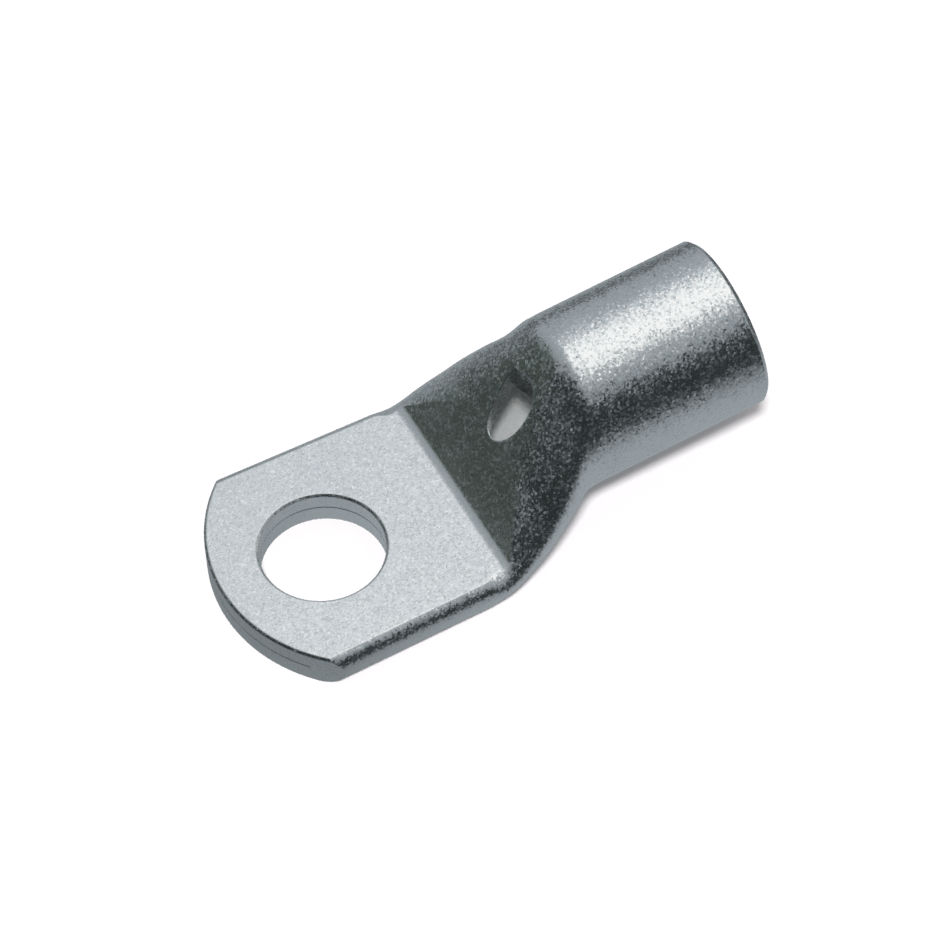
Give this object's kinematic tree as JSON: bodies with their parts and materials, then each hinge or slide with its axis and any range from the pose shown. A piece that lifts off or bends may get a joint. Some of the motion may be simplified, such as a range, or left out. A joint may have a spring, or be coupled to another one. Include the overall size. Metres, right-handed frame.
{
  "type": "tubular ring cable lug",
  "caption": "Tinned copper ring terminal: a round barrel for a stranded conductor, pressed into a flat palm with a stud hole, with a sight hole in the ramp.",
  "frame": {"origin": "centre of the stud hole on the palm's underside", "axes": "+X towards the barrel mouth, +Z out of the palm's upper face, +Y across the palm"},
  "size_m": [0.059, 0.0274, 0.0205],
  "materials": {
    "tinned_copper": "satin tin plate on copper"
  },
  "bodies": {
    "root": {"cable_lug": "tinned_copper"}
  },
  "joints": []
}
